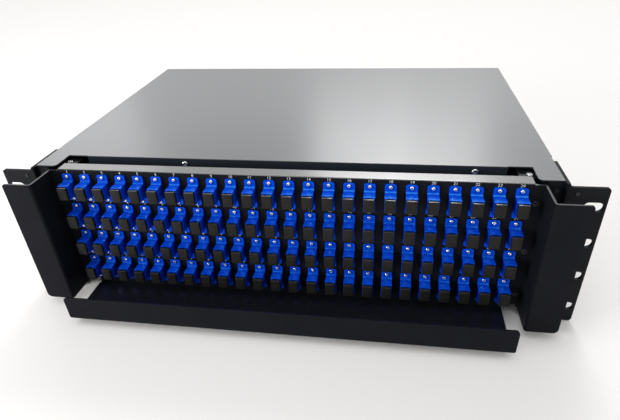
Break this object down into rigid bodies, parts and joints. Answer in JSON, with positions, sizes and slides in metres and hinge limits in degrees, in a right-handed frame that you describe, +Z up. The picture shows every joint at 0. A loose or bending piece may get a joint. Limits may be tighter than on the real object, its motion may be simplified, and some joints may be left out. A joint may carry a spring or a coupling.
{
  "type": "fibre optic patch panel",
  "caption": "Rack-mount fibre optic patch panel: a black steel case with slotted ears, a pull-out port drawer, side guards and a front cable tray.",
  "frame": {"origin": "on the underside of the case, under the middle of the whole panel's width and depth", "axes": "+X to the viewer's right across the ears, +Y to the back, +Z up; the ports face -Y"},
  "size_m": [0.4826, 0.3656, 0.131],
  "materials": {
    "chassis_paint": "matt black powder coat with a fine texture",
    "cover_paint": "smooth semi-gloss black powder coat",
    "drawer_paint": "matt black powder coat with a fine texture",
    "black_screws": "black plated steel",
    "zinc_screws": "zinc plated steel",
    "slide_steel": "zinc plated rolled steel",
    "gland_nylon": "moulded black nylon",
    "rubber": "matt black rubber",
    "brass": "plain turned brass",
    "adapter_blue": "satin moulded blue plastic",
    "cap_grey": "moulded dark grey plastic",
    "rear_cap_white": "moulded white plastic",
    "sleeve_ceramic": "polished white ceramic",
    "splice_plastic": "moulded off-white plastic",
    "lid_clear": "clear plastic sheet",
    "protector_clear": "heat-shrunk splice protectors",
    "clip_nylon": "moulded natural nylon"
  },
  "bodies": {
    "chassis": {"base_pan": "chassis_paint", "rear_panel": "chassis_paint", "top_cover": "cover_paint", "cover_stiffener": "chassis_paint", "cover_screws": "black_screws", "rack_ear_screws": "black_screws", "slide_outer_screws": "zinc_screws", "rear_panel_screws": "black_screws", "front_bay_screws": "black_screws", "lip_screws": "zinc_screws", "cable_gland_bodies": "gland_nylon", "cable_gland_locknuts": "gland_nylon", "cable_gland_seals": "rubber", "cable_gland_domed_nuts": "gland_nylon", "earth_stud": "brass", "earth_stud_nut": "brass", "rack_ear_left": "chassis_paint", "rack_ear_right": "chassis_paint", "slide_outer_left": "slide_steel", "slide_outer_right": "slide_steel", "drawer_stops": "rubber"},
    "drawer": {"drawer_tray": "drawer_paint", "adapter_panel": "drawer_paint", "side_guard_left": "drawer_paint", "side_guard_right": "drawer_paint", "cable_tray": "drawer_paint", "panel_screws": "black_screws", "guard_and_tray_screws": "black_screws", "corner_screws": "zinc_screws", "slide_inner_screws": "zinc_screws", "fibre_spool_screws": "zinc_screws", "adapter_screws": "zinc_screws", "splice_tray_studs": "zinc_screws", "splice_tray_wing_nuts": "zinc_screws", "splice_tray_spacers": "zinc_screws", "slide_inner_left": "slide_steel", "slide_inner_right": "slide_steel", "open_port_adapter": "adapter_blue", "adapters_row_1": "adapter_blue", "adapters_row_2": "adapter_blue", "adapters_row_3": "adapter_blue", "adapters_row_4": "adapter_blue", "dust_caps_row_1": "cap_grey", "dust_caps_row_2": "cap_grey", "dust_caps_row_3": "cap_grey", "dust_caps_row_4": "cap_grey", "rear_dust_caps": "rear_cap_white", "adapter_sleeves": "sleeve_ceramic", "splice_tray_inserts": "splice_plastic", "splice_tray_1": "splice_plastic", "splice_tray_2": "splice_plastic", "splice_tray_3": "splice_plastic", "splice_tray_4": "splice_plastic", "splice_tray_lid": "lid_clear", "splice_protectors": "protector_clear", "fibre_spools": "clip_nylon", "fibre_clips": "clip_nylon"},
    "slide_middle_left": {"slide_middle_left": "slide_steel"},
    "slide_middle_right": {"slide_middle_right": "slide_steel"},
    "dust_cap": {"pull_off_dust_cap": "cap_grey"}
  },
  "joints": [
    {"name": "drawer_slide", "type": "slide", "parent": "chassis", "child": "drawer", "axis": [0, -1, 0], "range_m": [0, 0.24]},
    {"name": "slide_middle_left_run", "type": "slide", "parent": "chassis", "child": "slide_middle_left", "axis": [0, -1, 0], "range_m": [0, 0.12]},
    {"name": "slide_middle_right_run", "type": "slide", "parent": "chassis", "child": "slide_middle_right", "axis": [0, -1, 0], "range_m": [0, 0.12]},
    {"name": "dust_cap_pull", "type": "slide", "parent": "drawer", "child": "dust_cap", "axis": [0, -1, 0], "range_m": [0, 0.02]}
  ],
  "couplings": [
    {"joint": "slide_middle_left_run", "follows": "drawer_slide", "ratio": 0.5},
    {"joint": "slide_middle_right_run", "follows": "drawer_slide", "ratio": 0.5}
  ]
}
